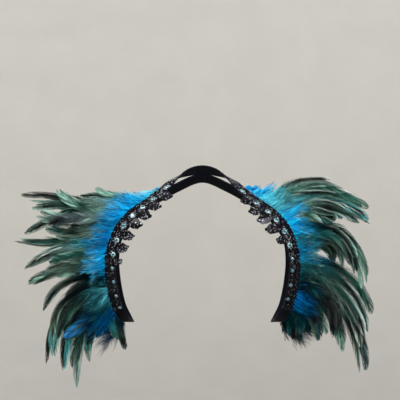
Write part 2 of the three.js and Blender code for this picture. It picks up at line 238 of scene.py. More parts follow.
class CollarTrimSettings(bpy.types.PropertyGroup):
    """Sizes and colours of the leaves, stones and beads."""

    bugle: length("Bugle radius", "Radius of a bugle bead", 0.75)
    seed: length("Seed bead radius", "Radius of a seed bead", 0.85)
    jet: colour("Jet", "Black beads", 8, 9, 12)
    plum: colour("Plum", "Beads with a purple lustre", 60, 52, 76)
    # Partly a silver bead colour and partly a painted glint on the beads
    steel_glint: colour("Steel", "Beads with a silver lustre", 150, 156, 162)
    aqua: colour("Aqua", "Body colour of the cut stones", 130, 205, 214)
    # Painted light: a white glint for the stones' facets and the pale ring beads, then a dark reflection for
    # the facets
    painted_glint: colour("Ice", "The stones' lightest facets", 240, 252, 252)
    painted_dark_reflection: colour("Deep", "The stones' darkest facets", 28, 84, 100)
    gunmetal: colour("Gunmetal", "The stones' settings", 40, 40, 48)


class CollarFeatherSettings(bpy.types.PropertyGroup):
    """Counts and colours of the feathers and the down."""

    extra: count("Extra feathers", "Shorter feathers behind each long one on the front", 3)
    barbs: count("Barbs", "Clumps of barbs on each side of a long feather", 108)
    wisps: count("Wisps", "Loose fibres along the lower half of each feather", 110)
    tufts: count("Tufts", "Tufts of down on each side of the collar", 1300)
    fibres: count("Fibres", "Fibres in each tuft", 26)
    azure: colour("Azure", "Bright down on the shoulder", 14, 166, 232)
    cyan: colour("Cyan", "Lighter, greener down", 84, 190, 208)
    royal: colour("Royal", "Deeper down", 0, 106, 176)
    navy: colour("Navy", "Dark blue down", 0, 52, 92)
    petrol: colour("Petrol", "Dark blue-green down", 4, 56, 64)
    black: colour("Black", "Darkest vanes", 9, 15, 15)
    olive: colour("Olive", "Dark olive vanes", 50, 62, 50)
    green: colour("Green", "Dyed green vanes", 34, 75, 66)
    grey: colour("Grey green", "Pale grey-green vanes", 112, 142, 132)
    mint: colour("Mint", "Pale green vanes and edges", 126, 172, 156)
    frost: colour("Frost", "Whitest edges", 196, 212, 206)
    slate: colour("Slate", "Blue-grey vanes", 66, 80, 84)
    teal: colour("Teal", "Teal vanes", 42, 116, 120)
    blue: colour("Blue", "Fully dyed blue vanes", 44, 126, 190)


class CollarStageSettings(bpy.types.PropertyGroup):
    """The floor, backdrop, camera and light."""

    floor: length("Floor depth", "How far the floor lies below the nape", 1000)
    reach: length("Backdrop radius", "From the middle of the floor to the backdrop", 4300)
    rise: length("Backdrop height", "How far the backdrop rises above the nape", 1700)
    paper: colour("Backdrop", "Pale floor and backdrop", 229, 227, 222)
    sky: FloatProperty(name="Sky", description="Strength of the light from above", default=0.5)
    key: FloatProperty(name="Key", description="Main light", default=90, unit="POWER")
    fill: FloatProperty(name="Fill", description="Light from the other side", default=16, unit="POWER")
    back: FloatProperty(name="Back", description="Light from behind", default=20, unit="POWER")


def unit(vectors):
    return vectors / np.linalg.norm(vectors, axis=-1, keepdims=True)


def smooth_step(low, high, value):
    share = np.clip((value - low) / (high - low), 0, 1)
    return share * share * (3 - 2 * share)


def mix(first, second, share):
    """Blends colours or points; share has no axis for their parts."""
    share = np.asarray(share)[..., None]
    return np.asarray(first) * (1 - share) + np.asarray(second) * share


class BandRoute:
    """The line along which the band is sewn, a closed smooth ring, and the ribbon's frame on it."""

    DIVISIONS = 40

    def __init__(self):
        half = np.array(BAND_ROUTE, float)
        mirrored = half[-2:0:-1] * (-1, 1, 1, 1)
        self.ring = np.vstack([half, mirrored]) * (MM, MM, MM, 1)
        self.steps = np.linspace(0, len(self.ring), self.DIVISIONS * len(self.ring) + 1)
        points = self.spline(self.steps)[0][:, :3]
        pieces = np.linalg.norm(np.diff(points, axis=0), axis=1)
        self.lengths = np.concatenate([[0], np.cumsum(pieces)])
        self.whole = self.lengths[-1]
        self.side = self.whole / 2

    def spline(self, step):
        """Values and slopes of the ring at each step."""
        first = np.floor(step).astype(int)
        share = (step - first)[:, None]
        before, start, end, after = (self.ring[(first + k) % len(self.ring)] for k in (-1, 0, 1, 2))
        leave, arrive = (end - before) / 2, (after - start) / 2
        square = 3 * (end - start) - 2 * leave - arrive
        cube = 2 * (start - end) + leave + arrive
        value = start + share * (leave + share * (square + share * cube))
        return value, leave + share * (2 * square + 3 * share * cube)

    def frames(self, at):
        """Middle of the band, the way along it, across to the feathers and out, at each distance."""
        at = np.atleast_1d(np.asarray(at, float)) % self.whole
        value, slope = self.spline(np.interp(at, self.lengths, self.steps))
        along = unit(slope[:, :3])
        angle = np.radians(value[:, 3])
        out = np.stack([0 * angle, -np.cos(angle), np.sin(angle)], 1)
        out = unit(out - along * np.sum(out * along, 1, keepdims=True))
        return value[:, :3], along, np.cross(out, along), out

    def place(self, at, across, out):
        at, across, out = np.broadcast_arrays(*(np.asarray(v, float) for v in (at, across, out)))
        middle, _, sideways, outward = self.frames(at.ravel())
        points = middle + sideways * across.reshape(-1, 1) + outward * out.reshape(-1, 1)
        return points.reshape(*at.shape, 3)


ROUTE = BandRoute()


class Joined:
    """Many small shapes joined into one mesh; each point has a tint and a place in the grain."""

    def __init__(self):
        self.points, self.tints, self.grains = [], [], []
        self.faces, self.finishes = [], []
        self.count = 0

    def add(self, points, faces, tint, grain=None, finish=0):
        points = np.asarray(points, float)
        tint = np.broadcast_to(tint, points.shape).reshape(-1, 3)
        grain = points if grain is None else np.broadcast_to(grain, points.shape)
        self.points.append(points.reshape(-1, 3))
        self.tints.append(tint)
        self.grains.append(grain.reshape(-1, 3))
        for corners in faces:
            self.faces.append(np.asarray(corners) + self.count)
            self.finishes.append(np.full(len(corners), finish))
        self.count += points.size // 3

    def piece(self, name, materials, mirror=False, smooth=False):
        points, faces = np.concatenate(self.points), self.faces
        if mirror:
            points = points * (-1, 1, 1)
            faces = [corners[:, ::-1] for corners in faces]
        sizes = np.concatenate([np.full(len(corners), corners.shape[1]) for corners in faces])
        corners = np.concatenate([corners.ravel() for corners in faces])
        mesh = bpy.data.meshes.new(name)
        mesh.vertices.add(len(points))
        mesh.vertices.foreach_set("co", points.astype(np.float32).ravel())
        mesh.loops.add(len(corners))
        mesh.loops.foreach_set("vertex_index", corners.astype(np.int32))
        mesh.polygons.add(len(sizes))
        starts = np.cumsum(sizes) - sizes
        mesh.polygons.foreach_set("loop_start", starts.astype(np.int32))
        mesh.polygons.foreach_set("material_index", np.concatenate(self.finishes).astype(np.int32))
        mesh.polygons.foreach_set("use_smooth", np.full(len(sizes), smooth))
        mesh.update(calc_edges=True)
        tints = np.ones((len(points), 4), np.float32)
        tints[:, :3] = np.clip(np.concatenate(self.tints), 0, 1)
        mesh.color_attributes.new("tint", "FLOAT_COLOR", "POINT").data.foreach_set("color", tints.ravel())
        grain = np.concatenate(self.grains).astype(np.float32)
        mesh.attributes.new("grain", "FLOAT_VECTOR", "POINT").data.foreach_set("vector", grain.ravel())
        for material in materials:
            mesh.materials.append(material)
        made = bpy.data.objects.new(name, mesh)
        bpy.context.scene.collection.objects.link(made)
        return made


def ring_walls(rings, closed=False):
    """Numbers the points of a row of rings and makes the faces from each ring to the next."""
    index = np.arange(rings.shape[0] * rings.shape[1]).reshape(rings.shape[:2])
    first, second = (index, np.roll(index, -1, 0)) if closed else (index[:-1], index[1:])
    walls = np.stack([first, np.roll(first, -1, 1), np.roll(second, -1, 1), second], -1)
    return index, walls.reshape(-1, 4)


def sweep(path, side, normal, section, closed=False):
    """Carries a cross-section along a path: its points and faces."""
    section = np.asarray(section, float)
    rings = path[:, None] + section[..., 0:1] * side[:, None] + section[..., 1:2] * normal[:, None]
    index, walls = ring_walls(rings, closed)
    faces = [walls] if closed else [walls, index[:1, ::-1], index[-1:]]
    return rings, faces


def circle(sides, radius=1.0, turn=0.0):
    angle = np.linspace(0, 2 * math.pi, sides, endpoint=False) + turn
    return np.stack([np.cos(angle), np.sin(angle)], 1) * radius


def tube(path, radii, sides):
    """A tube along a short path, with a frame of its own."""
    path = np.asarray(path, float)
    along = unit(np.gradient(path, axis=0))
    guide = np.eye(3)[np.argmin(np.abs(along.mean(0)))]
    side = unit(np.cross(guide, along))
    normal = np.cross(along, side)
    section = circle(sides)[None] * np.broadcast_to(radii, len(path))[:, None, None]
    return sweep(path, side, normal, section)


def ball():
    """A small round bead: an eight-sided ball with each face cut in four."""
    points = [Vector(p) for p in ((1, 0, 0), (-1, 0, 0), (0, 1, 0), (0, -1, 0), (0, 0, 1), (0, 0, -1))]
    corners = ((0, 2, 4), (2, 1, 4), (1, 3, 4), (3, 0, 4), (2, 0, 5), (1, 2, 5), (3, 1, 5), (0, 3, 5))
    middles, faces = {}, []

    def middle(a, b):
        key = (min(a, b), max(a, b))
        if key not in middles:
            middles[key] = len(points)
            points.append((points[a] + points[b]).normalized())
        return middles[key]

    for a, b, c in corners:
        ab, bc, ca = middle(a, b), middle(b, c), middle(c, a)
        faces += [(a, ab, ca), (ab, b, bc), (ca, bc, c), (ab, bc, ca)]
    return np.array(points), np.array(faces)


BALL_POINTS, BALL_FACES = ball()


def add_balls(joined, centres, radii, tints):
    centres = np.asarray(centres, float).reshape(-1, 3)
    radii = np.broadcast_to(radii, len(centres))
    points = centres[:, None] + BALL_POINTS[None] * radii[:, None, None]
    starts = np.arange(len(centres))[:, None, None] * len(BALL_POINTS)
    tint = np.broadcast_to(np.asarray(tints, float).reshape(-1, 1, 3), points.shape)
    joined.add(points, [(BALL_FACES[None] + starts).reshape(-1, 3)], tint)


class Finish:
    """A material and its nodes, with the tint and grain that every joined mesh carries."""

    def __init__(self, name, **sockets):
        self.material = bpy.data.materials.new(name)
        self.material.use_nodes = True
        self.tree = self.material.node_tree
        self.shader = self.tree.nodes["Principled BSDF"]
        for socket, value in sockets.items():
            self.shader.inputs[socket.replace("_", " ")].default_value = value

    def node(self, kind, settings=None, **sockets):
        made = self.tree.nodes.new(kind)
        for key, value in (settings or {}).items():
            setattr(made, key, value)
        for socket, value in sockets.items():
            target = made.inputs[socket.replace("_", " ")]
            if isinstance(value, bpy.types.NodeSocket):
                self.tree.links.new(value, target)
            else:
                target.default_value = value
        return made

    def attribute(self, name):
        return self.node("ShaderNodeAttribute", {"attribute_name": name})

    def noise(self, scale, detail=3.0, place=None):
        place = place or self.attribute("grain").outputs["Vector"]
        made = self.node("ShaderNodeTexNoise", Vector=place, Scale=scale, Detail=detail)
        return made.outputs["Fac"]

    def spread(self, value, low, high):
        """Maps a noise value to a range, with its middle half stretched to fill it."""
        made = self.node("ShaderNodeMapRange", Value=value)
        for socket, number in zip(("From Min", "From Max", "To Min", "To Max"), (0.25, 0.75, low, high)):
            made.inputs[socket].default_value = number
        return made.outputs["Result"]

    def shade(self, colour, value):
        """Multiplies a colour by a value."""
        made = self.node("ShaderNodeVectorMath", {"operation": "SCALE"}, Scale=value)
        self.tree.links.new(colour, made.inputs[0])
        return made.outputs["Vector"]

    def bump(self, height, strength, distance):
        made = self.node("ShaderNodeBump", Height=height, Strength=strength, Distance=distance)
        self.link(made.outputs["Normal"], "Normal")

    def link(self, value, socket):
        self.tree.links.new(value, self.shader.inputs[socket])


def tinted_finish(name, vary, rough, grain_scale, bump, **sockets):
    """A finish whose tint varies with a fine noise, which also roughens and raises it."""
    finish = Finish(name, **sockets)
    fine = finish.noise(grain_scale)
    broad = finish.noise(grain_scale / 9, 2.0)
    tint = finish.attribute("tint").outputs["Color"]
    finish.link(finish.shade(finish.shade(tint, finish.spread(fine, 1 - vary, 1 + vary)),
                             finish.spread(broad, 1 - vary / 2, 1 + vary / 2)), "Base Color")
    finish.link(finish.spread(fine, *rough), "Roughness")
    finish.bump(fine, 0.5, bump)
    return finish.material


def vane_finish():
    return tinted_finish("feather_vane", 0.2, (0.34, 0.55), 900, 0.1 * MM, Specular_IOR_Level=0.07)


def down_finish():
    return tinted_finish("blue_down", 0.16, (0.75, 0.95), 500, 0.05 * MM, Specular_IOR_Level=0.02)


def bead_finish(name):
    return tinted_finish(name, 0.18, (0.1, 0.24), 700, 0.02 * MM,
                         Metallic=0.4, Coat_Weight=0.22, Coat_Roughness=0.05,
                         Specular_IOR_Level=0.25)


def stone_finish():
    return tinted_finish("aqua_stone", 0.06, (0.03, 0.08), 350, 0.005 * MM,
                         Metallic=0.15, Coat_Weight=1.0, Coat_Roughness=0.03)


def setting_finish():
    return tinted_finish("gunmetal_setting", 0.2, (0.25, 0.45), 1200, 0.02 * MM, Metallic=0.85)


def ribbon_finish(name, rib, rough):
    """Woven cloth: fine ribs across the ribbon, and threads that pass over and under them."""
    finish = Finish(name, Specular_IOR_Level=0.07)
    grain = finish.attribute("grain").outputs["Vector"]
    wave = {"wave_type": "BANDS", "bands_direction": "X"}
    warp = finish.node("ShaderNodeTexWave", wave, Vector=grain, Scale=0.314 / rib, Distortion=0.6)
    wave["bands_direction"] = "Y"
    weft = finish.node("ShaderNodeTexWave", wave, Vector=grain, Scale=0.314 / (1.5 * rib), Distortion=0.6)
    weave = finish.node("ShaderNodeMath", {"operation": "MULTIPLY"})
    finish.tree.links.new(warp.outputs["Fac"], weave.inputs[0])
    finish.tree.links.new(weft.outputs["Fac"], weave.inputs[1])
    tint = finish.attribute("tint").outputs["Color"]
    threads = finish.shade(tint, finish.spread(weave.outputs["Value"], 0.75, 1.3))
    wear = finish.noise(90, 4.0)
    finish.link(finish.shade(threads, finish.spread(wear, 0.8, 1.25)), "Base Color")
    finish.link(finish.spread(wear, *rough), "Roughness")
    finish.bump(weave.outputs["Value"], 0.6, 0.25 * MM)
    return finish.material


def fit(piece, slot, *nodes):
    """Fixes a piece to the collar and hides the solids it stands for."""
    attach(piece, "root")
    if nodes:
        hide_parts(*nodes)


def ribbon_section(left, right, thick, corner):
    """A flat section with round corners, from the leaf edge to the feather edge."""
    corner = min(corner, thick / 2)
    centres = ((right - corner, thick / 2 - corner), (left + corner, thick / 2 - corner),
               (left + corner, corner - thick / 2), (right - corner, corner - thick / 2))
    points = []
    for k, (x, y) in enumerate(centres):
        for step in range(4):
            angle = (k + step / 3) * math.pi / 2
            points.append((x + corner * math.cos(angle), y + corner * math.sin(angle)))
        if k in (0, 2):
            end = centres[k + 1]
            level = points[-1][1]
            points += [(x + (end[0] - x) * share, level) for share in (0.2, 0.4, 0.6, 0.8)]
    return np.array(points)


RIBBON_STEPS = 480
RIBBON_CORNER, SEAM_CORNER = 0.8 * MM, 1.2 * MM  # radii of their round corners
WEAVE_RIB, CORD_RIB = 0.9 * MM, 1.2 * MM  # from one rib of the weave to the next
CORD_INSET, CORD_ABOVE = 0.4 * MM, 0.3 * MM  # from the ribbon's edge, and above its middle
CORD_SIDES = 8
THIN_CORD = 0.7  # the cord on the leaf edge against the one on the feather edge
NapeSeam = namedtuple("NapeSeam", "long start end thick")
NAPE_SEAM = NapeSeam(20 * MM, 5 * MM, 17 * MM, 3.2 * MM)
SEAM_STEPS = 9
STITCHES, STITCH_PITCH, STITCH_RADIUS = 9, 2.1 * MM, 0.35 * MM
STITCH_SLANT, STITCH_INSET = 0.9 * MM, 0.6 * MM
STITCH_RISE = (-0.6, 0.25, 0.4, 0.25, -0.6)  # millimetres above the seam's face, along a stitch


class MakeBand(bpy.types.Operator):
    """Make the woven ribbon band with its satin cord and the sewn nape"""

    bl_idname = "collar.make_band"
    bl_label = "Ribbon band"

    def execute(self, context):
        band = context.scene.collar_band
        ribbon, satin = np.array(band.ribbon), np.array(band.satin)
        woven = ribbon_finish("woven_ribbon", WEAVE_RIB, (0.5, 0.8))
        cord = ribbon_finish("satin_cord", CORD_RIB, (0.3, 0.5))
        at = np.linspace(0, ROUTE.whole, RIBBON_STEPS, endpoint=False)
        middle, _, across, out = ROUTE.frames(at)
        section = ribbon_section(-band.inner, band.outer, band.thick, RIBBON_CORNER)
        joined = Joined()
        self.lay(joined, at, middle, across, out, section, ribbon, True)
        seam = NAPE_SEAM
        seam_at = np.linspace(-seam.long / 2, seam.long / 2, SEAM_STEPS)
        patch = ribbon_section(seam.start, seam.end, seam.thick, SEAM_CORNER)
        self.lay(joined, seam_at, *(ROUTE.frames(seam_at)[k] for k in (0, 2, 3)), patch, ribbon, False)
        piece = joined.piece("collar_ribbon", [woven], smooth=True)
        fit(piece, "band", "collar_band")

        joined = Joined()
        cords = ((band.outer - CORD_INSET, band.rim), (CORD_INSET - band.inner, THIN_CORD * band.rim))
        for place, radius in cords:
            path = middle + across * place + out * CORD_ABOVE
            points, faces = sweep(path, across, out, circle(CORD_SIDES, radius), closed=True)
            grain = np.stack(np.broadcast_arrays(at[:, None], np.arange(CORD_SIDES) * CORD_RIB, 0.0), -1)
            joined.add(points, faces, satin, grain)
        fit(joined.piece("collar_rim", [cord], smooth=True), "band")

        joined = Joined()
        slant = np.linspace(-STITCH_SLANT, STITCH_SLANT, len(STITCH_RISE))
        cross = np.linspace(seam.start + STITCH_INSET, seam.end - STITCH_INSET, len(STITCH_RISE))
        for face in (1, -1):
            bulge = face * (seam.thick / 2 + np.array(STITCH_RISE) * MM)
            for k in range(STITCHES):
                stitch = (k - STITCHES // 2) * STITCH_PITCH + slant
                points, faces = tube(ROUTE.place(stitch, cross, bulge), STITCH_RADIUS, 6)
                joined.add(points, faces, satin * 1.6)
        fit(joined.piece("nape_stitches", [cord], smooth=True), "band")
        return {"FINISHED"}

    def lay(self, joined, at, middle, across, out, section, tint, closed):
        points, faces = sweep(middle, across, out, section, closed)
        grain = np.stack(np.broadcast_arrays(at[:, None], section[None, :, 0], section[None, :, 1]), -1)
        joined.add(points, faces, tint, grain)


LEAF_WIDTH = 0.54  # share of its length
LEAF_ROOT, LEAF_ABOVE = -5 * MM, 7 * MM  # across the band, and how far above its stone
LEAF_LEAN, LEAF_DROOP = math.radians(36), math.radians(14)
LEAF_FOLD = 4 * MM  # from the root to where the leaf starts to droop
LEAF_GAP = 0.9 * MM
LEAF_SKEW = 0.8
ROW_PITCH = 1.9 * MM
BUGLE_LONG = 2.6 * MM
BUGLE_PAST = 2.2 * MM  # how far the rows pass the leaf's edge
ROWS_ABOVE, MIDRIB_ABOVE = 1.15 * MM, 1.9 * MM  # above the leaf's underside
LEAF_FELT, FELT_MARGIN = 1.0 * MM, 0.8 * MM  # the felt's thickness, and its edge beyond the leaf's
LEAF_STATIONS = 15
BUGLE_SWEEP = math.radians(48)  # between the leaf's midrib and a row of bugle beads


def on_leaf(at, points, thick):
    """Bends points of a flat leaf, root at the origin and tip on +X, on to the band."""
    x, y, z = np.moveaxis(np.asarray(points, float), -1, 0)
    up = x * math.sin(LEAF_LEAN) - y * math.cos(LEAF_LEAN)
    over = x * math.cos(LEAF_LEAN) + y * math.sin(LEAF_LEAN)
    past = np.maximum(0, over - LEAF_FOLD)
    across = LEAF_ROOT - over + past * (1 - math.cos(LEAF_DROOP))
    out = thick / 2 + LEAF_GAP + z - past * math.sin(LEAF_DROOP)
    return ROUTE.place(at - up, across, out)


def leaf_half_width(share, width):
    return np.sin(math.pi * np.clip(share, 0, 1) ** LEAF_SKEW) * width / 2


def lustre(trim, rng, size, plum, steel_glint):
    """Tints for beads: most are jet, some have a purple lustre and some a grey one, whose pale steel tint is
    partly a silver bead colour and partly a painted glint.
    """
    chance = rng.uniform(size=size)
    tints = np.where((chance < plum)[:, None], trim.plum, np.array(trim.jet))
    tints = np.where((chance > 1 - steel_glint)[:, None], trim.steel_glint, tints)
    return tints * rng.uniform(0.6, 1.4, (size, 1))


class SewLeaves(bpy.types.Operator):
    """Sew the leaves of bugle beads along the inner edge of the band"""

    bl_idname = "collar.sew_leaves"
    bl_label = "Bugle-bead leaves"

    def execute(self, context):
        trim, thick = context.scene.collar_trim, context.scene.collar_band.thick
        finishes = [bead_finish("bugle_bead"), ribbon_finish("leaf_felt", 0.7 * MM, (0.7, 0.9))]
        for side in ("left", "right"):
            rng = np.random.default_rng(SIDE_SEED[side])
            stones = TRIM[side].large + TRIM[side].small
            for k, long in enumerate(TRIM[side].leaves):
                joined = Joined()
                self.add_leaf(joined, trim, thick, stones[k + 1] * MM - LEAF_ABOVE, long * MM, rng)
                piece = joined.piece(f"leaf_beads_{side}_{k + 1}", finishes, mirror=side == "right")
                fit(piece, "leaf", f"leaf_{side}_{k + 1}")
        return {"FINISHED"}

    def add_leaf(self, joined, trim, thick, at, long, rng):
        share = np.linspace(0.02, 0.97, LEAF_STATIONS)
        half = leaf_half_width(share, LEAF_WIDTH * long) + FELT_MARGIN
        path = np.stack([share * long, 0 * share, 0 * share + LEAF_FELT / 2], 1)
        side = np.tile((0.0, -1.0, 0.0), (len(share), 1))
        normal = np.tile((0.0, 0.0, 1.0), (len(share), 1))
        flat = np.array([(1, 0.5), (0, 0.6), (-1, 0.5), (-1, -0.5), (1, -0.5)])
        section = flat[None] * np.stack([half, 0 * half + LEAF_FELT], 1)[:, None]
        points, faces = sweep(path, side, normal, section)
        joined.add(on_leaf(at, points, thick), faces, np.array(trim.jet) * 0.6, points, 1)
        self.add_rows(joined, trim, thick, at, long, rng)
        beads = int(long / (1.9 * trim.bugle))
        share = np.linspace(0.03, 0.98, beads)
        centres = np.stack([share * long, 0 * share, 0 * share + MIDRIB_ABOVE], 1)
        add_balls(joined, on_leaf(at, centres, thick), trim.bugle, lustre(trim, rng, beads, 0.2, 0.2))

    def add_rows(self, joined, trim, thick, at, long, rng):
        """Rows of bugle beads that slant from the midrib to the leaf's edge, like a herringbone."""
        rows, radius = int(long / ROW_PITCH), trim.bugle
        for row in range(rows):
            for flip in (1, -1):
                start = (row + 0.35 + 0.3 * (flip < 0)) / (rows + 0.6)
                reach = leaf_half_width(start + 0.16, LEAF_WIDTH * long) + BUGLE_PAST
                slant = BUGLE_SWEEP + rng.normal(0, 0.05)
                row_length = reach / math.sin(slant)
                ends = np.linspace(0.7 * MM, row_length, max(1, round(row_length / BUGLE_LONG)) + 1)
                for a, b in zip(ends[:-1], ends[1:]):
                    steps = np.array([a + 0.05 * MM, a + 0.3 * MM, b - 0.3 * MM, b - 0.05 * MM])
                    lift = ROWS_ABOVE + radius * 0.6 + rng.normal(0, 0.12) * MM
                    path = np.stack([start * long * 0.94 + steps * math.cos(slant),
                                     flip * steps * math.sin(slant), 0 * steps + lift], 1)
                    points, faces = tube(path, np.array([0.7, 1, 1, 0.7]) * radius, 5)
                    tint = lustre(trim, rng, 1, 0.14, 0.1)[0]
                    joined.add(on_leaf(at, points, thick), faces, tint, points)


StoneSize = namedtuple("StoneSize", "girdle table height dull")  # its last field is the share of facets painted as dark reflections; the others are painted as glints
LARGE_STONE, SMALL_STONE = StoneSize(4.2, 2.3, 2.8, 0.5), StoneSize(2.8, 1.5, 2.0, 0.9)
STONE_ACROSS = -2.6 * MM
STONE_GAP = 0.75 * MM
SETTING_RIM, SETTING_HEIGHT = 0.7 * MM, 0.9 * MM
STONE_SIDES, SETTING_SIDES = 8, 24
CLAWS = 4


def stone_rows(side):
    """Distance along the band and size of each stone on one side, from the neck down."""
    rows = [(at * MM, LARGE_STONE) for at in TRIM[side].large]
    return rows + [(at * MM, SMALL_STONE) for at in TRIM[side].small]


class SetStones(bpy.types.Operator):
    """Set the cut stones along the band"""

    bl_idname = "collar.set_stones"
    bl_label = "Cut stones"

    def execute(self, context):
        trim, thick = context.scene.collar_trim, context.scene.collar_band.thick
        finishes = [stone_finish(), setting_finish()]
        for side in ("left", "right"):
            rng = np.random.default_rng(SIDE_SEED[side] + 1)
            for k, (at, size) in enumerate(stone_rows(side)):
                joined = Joined()
                self.add_stone(joined, trim, thick, at, size, rng)
                piece = joined.piece(f"cut_stone_{side}_{k + 1}", finishes, mirror=side == "right")
                fit(piece, "stone", f"stone_{side}_{k + 1}")
        return {"FINISHED"}

    def add_stone(self, joined, trim, thick, at, size, rng):
        girdle, table, height = (MM * v for v in (size.girdle, size.table, size.height))
        _, along, across, out = ROUTE.frames(at)
        basis = np.stack([along[0], across[0], out[0]])
        seat = ROUTE.place(at, STONE_ACROSS, thick / 2 + STONE_GAP)

        def ring(sides, radius, level, turn=0.0):
            flat = circle(sides, radius, turn)
            return np.column_stack([flat, np.full(sides, level)])

        half = math.pi / STONE_SIDES
        top = ring(STONE_SIDES, table, height)
        crown = SETTING_HEIGHT + 0.55 * (height - SETTING_HEIGHT)
        waist = ring(STONE_SIDES, 0.45 * table + 0.55 * girdle, crown, half)
        edge = ring(2 * STONE_SIDES, girdle, SETTING_HEIGHT)
        low = ring(2 * STONE_SIDES, girdle, SETTING_HEIGHT - 0.3 * MM)
        facets = [top]
        for k in range(STONE_SIDES):
            n, left, right = (k + 1) % STONE_SIDES, waist[k - 1], waist[k]
            facets.append(np.array([top[k], right, top[n]]))
            facets.append(np.array([top[k], left, edge[2 * k], right]))
            facets.append(np.array([right, edge[2 * k], edge[2 * k + 1]]))
            facets.append(np.array([right, edge[2 * k + 1], edge[(2 * k + 2) % len(edge)]]))
        for k in range(2 * STONE_SIDES):
            n = (k + 1) % len(edge)
            facets.append(np.array([edge[k], low[k], low[n], edge[n]]))
        for k, facet in enumerate(facets):
            # Each facet is painted at random as a white glint or a dark reflection, then mixed with the aqua
            # body; the table is painted dark.
            tint = mix(trim.painted_dark_reflection, trim.painted_glint, smooth_step(size.dull - 0.2, size.dull + 0.2, rng.uniform()))
            tint = mix(tint, trim.aqua, rng.uniform(0.05, 0.4)) if k else np.array(trim.painted_dark_reflection)
            joined.add(seat + facet @ basis, [np.arange(len(facet))[None]], tint, facet)

        rim = girdle + SETTING_RIM
        profile = ((rim - 0.25 * MM, 0), (rim, 0.2 * MM), (rim, SETTING_HEIGHT - 0.2 * MM),
                   (rim - 0.2 * MM, SETTING_HEIGHT), (girdle, SETTING_HEIGHT), (girdle - 0.3 * MM, 0.5 * MM))
        rings = np.stack([ring(SETTING_SIDES, radius, level) for radius, level in profile])
        joined.add(seat + rings @ basis, [ring_walls(rings)[1]], trim.gunmetal, rings, 1)
        for k in range(CLAWS):
            angle = (k + 0.5) * 2 * math.pi / CLAWS
            way = np.array([math.cos(angle), math.sin(angle), 0])
            levels = ((rim - 0.1 * MM, 0.3 * MM), (rim, SETTING_HEIGHT),
                      (girdle - 0.1 * MM, SETTING_HEIGHT + 0.5 * MM),
                      (girdle - 0.7 * MM, SETTING_HEIGHT + 0.85 * MM))
            path = np.array([way * radius + (0, 0, level) for radius, level in levels])
            points, faces = tube(path, np.array([0.5, 0.5, 0.45, 0.3]) * MM, 6)
            joined.add(seat + points @ basis, faces, np.array(trim.gunmetal) * 1.5, points, 1)


BEADED_FROM, BEADED_TO = 20 * MM, 352 * MM
PLAIN_EDGE = 3.0 * MM  # smooth ribbon left beside the feathers
BEADS_PAINTED_SHADE = (215 * MM, 270 * MM)  # where the beads darken towards under the arm: painted shade
BEAD_PITCH = 2.15  # from one bead to the next, in bead radii
SCROLL_BEADS, SCROLL_TURN, SCROLL_RADIUS = 14, 3.4 * math.pi, 3.3 * MM
SCROLL_APART, SCROLL_ACROSS = (3.6 * MM, 1.1 * MM), -1.4 * MM
FILLING_TRIES = 5200


